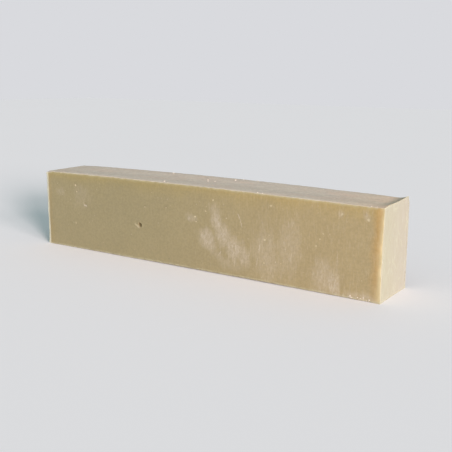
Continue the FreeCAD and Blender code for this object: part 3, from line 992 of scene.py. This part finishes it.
def crumb_material(loaf):
    """Dry pale crumbs of the same soap."""
    material, tree, shader, place = new_material("soap_crumb_surface")
    lumps = grain(tree, place, 900.0, detail=3.0)
    dark, pale = opaque(loaf.ash, 0.85), opaque(loaf.ash, 1.12)
    plug(tree, shader.inputs["Base Color"], blend_colours(tree, ramp(tree, lumps, 0.3, 0.7), dark, pale))
    shader.inputs["Roughness"].default_value = 0.8
    bump = add_node(tree, "Bump", Height=lumps, Strength=0.5, Distance=0.0002)
    plug(tree, shader.inputs["Normal"], bump.outputs[0])
    return material


# Stage

def floor_surface(half=4000.0, count=40):
    """Points and faces of a square of floor, as a plain grid."""
    line = np.linspace(-half, half, count + 1)
    x, y = np.meshgrid(line, line, indexing="ij")
    quads = grid_quads(np.arange(x.size).reshape(x.shape)).reshape(-1, 4)
    return np.stack([x, y, np.zeros_like(x)], -1).reshape(-1, 3), quads


def floor_material(stage):
    """Plain matt paper, with a trace of unevenness that is too slow to read as a pattern."""
    material, tree, shader, place = new_material("floor_paper")
    slow = grain(tree, place, 1.6, detail=1.0)
    colour = blend_colours(tree, slow, opaque(stage.floor, 0.995), opaque(stage.floor, 1.005))
    plug(tree, shader.inputs["Base Color"], colour)
    shader.inputs["Roughness"].default_value = 0.95
    shader.inputs["Specular IOR Level"].default_value = 0.1
    return material


def turned_axes(bearing, climb, roll=0.0):
    """Right, up and backward directions of a camera or lamp.

    It looks along +Y, turned by bearing about the upright, down by climb and about its own line
    of sight by roll.
    """
    level = np.array([math.cos(bearing), math.sin(bearing), 0.0])
    away = np.array([math.sin(bearing), -math.cos(bearing), 0.0])
    back = away * math.cos(climb) + np.array([0.0, 0.0, math.sin(climb)])
    up = np.cross(back, level)
    right = math.cos(roll) * level + math.sin(roll) * up
    return right, math.cos(roll) * up - math.sin(roll) * level, back


def place_by_axes(thing, place, axes):
    """Stand a camera or lamp at a place with its own axes along three directions."""
    matrix = np.eye(4)
    matrix[:3] = np.stack([*axes, place], 1)
    thing.matrix_world = Matrix(matrix.tolist())


# Operators

class SOAP_OT_loaf(bpy.types.Operator):
    """Make the loaf's surface, which stands for the solid of the frame"""

    bl_idname = "soap.loaf"
    bl_label = "Make the loaf"

    def execute(self, context):
        """Build the surface, its masks and its material."""
        loaf = context.scene.soap_loaf
        piece = make_piece("soap_loaf", loaf_surface(loaf), soap_material(loaf))
        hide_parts("soap_bar")
        return {"FINISHED"}


class SOAP_OT_crumbs(bpy.types.Operator):
    """Make the crumbs on the loaf's front base edge and the dry flakes on its top"""

    bl_idname = "soap.crumbs"
    bl_label = "Make the crumbs"

    def execute(self, context):
        """Build all crumbs and flakes as one piece."""
        loaf = context.scene.soap_loaf
        make_piece("soap_crumbs", crumb_surface(loaf), crumb_material(loaf))
        return {"FINISHED"}


class SOAP_OT_stage(bpy.types.Operator):
    """Make the floor, the light and the camera"""

    bl_idname = "soap.stage"
    bl_label = "Make the stage"

    def execute(self, context):
        """Build the stage round the finished loaf."""
        scene = context.scene
        stage = scene.soap_stage
        floor = mesh_object("floor", *floor_surface())
        floor.data.materials.append(floor_material(stage))

        world = bpy.data.worlds.new("studio")
        scene.world = world
        world.use_nodes = True
        tree = world.node_tree
        # Even light from all round. The camera itself sees the backdrop's colour there.
        seen = add_node(tree, "LightPath").outputs["Is Camera Ray"]
        sky = tree.nodes["Background"]
        plug(tree, sky.inputs["Color"], blend_colours(
            tree, seen, opaque(stage.sky_colour, stage.sky), opaque(stage.backdrop)))

        for name in ("key", "wide"):
            lamp = bpy.data.lights.new(name, "SUN")
            lamp.energy = getattr(stage, name)
            lamp.angle = getattr(stage, name + "_breadth")
            lamp.color = stage.lamp_colour
            light = bpy.data.objects.new(name, lamp)
            scene.collection.objects.link(light)
            bearing, climb = getattr(stage, name + "_bearing"), getattr(stage, name + "_climb")
            axes = turned_axes(math.pi / 2 - bearing, climb)
            place_by_axes(light, axes[2], axes)

        lens = bpy.data.cameras.new("camera")
        lens.lens = stage.camera_lens
        lens.sensor_width = 36.0
        lens.sensor_fit = "HORIZONTAL"
        lens.clip_start = 0.01
        camera = bpy.data.objects.new("camera", lens)
        scene.collection.objects.link(camera)
        axes = turned_axes(stage.camera_bearing, stage.camera_climb, stage.camera_roll)
        place_by_axes(camera, stage.camera_place, axes)
        scene.camera = camera
        scene.view_settings.view_transform = "Standard"
        return {"FINISHED"}


class SOAP_PT_panel(bpy.types.Panel):
    """Settings and steps of the soap loaf"""

    bl_label = "Soap loaf"
    bl_idname = "SOAP_PT_panel"
    bl_space_type = "VIEW_3D"
    bl_region_type = "UI"
    bl_category = "Soap loaf"

    def draw(self, context):
        """List the settings and the operators."""
        for settings in (context.scene.soap_loaf, context.scene.soap_stage):
            column = self.layout.column(align=True)
            for name in settings.bl_rna.properties.keys():
                if name not in {"rna_type", "name"}:
                    column.prop(settings, name)
        for step in STEPS:
            self.layout.operator(step.bl_idname)


STEPS = (SOAP_OT_loaf, SOAP_OT_crumbs, SOAP_OT_stage)
CLASSES = (LoafSettings, StageSettings, *STEPS, SOAP_PT_panel)


def register():
    """Add the classes and the two groups of settings."""
    for item in CLASSES:
        bpy.utils.register_class(item)
    bpy.types.Scene.soap_loaf = bpy.props.PointerProperty(type=LoafSettings)
    bpy.types.Scene.soap_stage = bpy.props.PointerProperty(type=StageSettings)


def unregister():
    """Take them away again."""
    del bpy.types.Scene.soap_stage
    del bpy.types.Scene.soap_loaf
    for item in reversed(CLASSES):
        bpy.utils.unregister_class(item)


def main():
    """Build everything in order."""
    register()
    bpy.ops.soap.loaf()
    bpy.ops.soap.crumbs()
    bpy.ops.soap.stage()


if __name__ == "__main__":
    main()
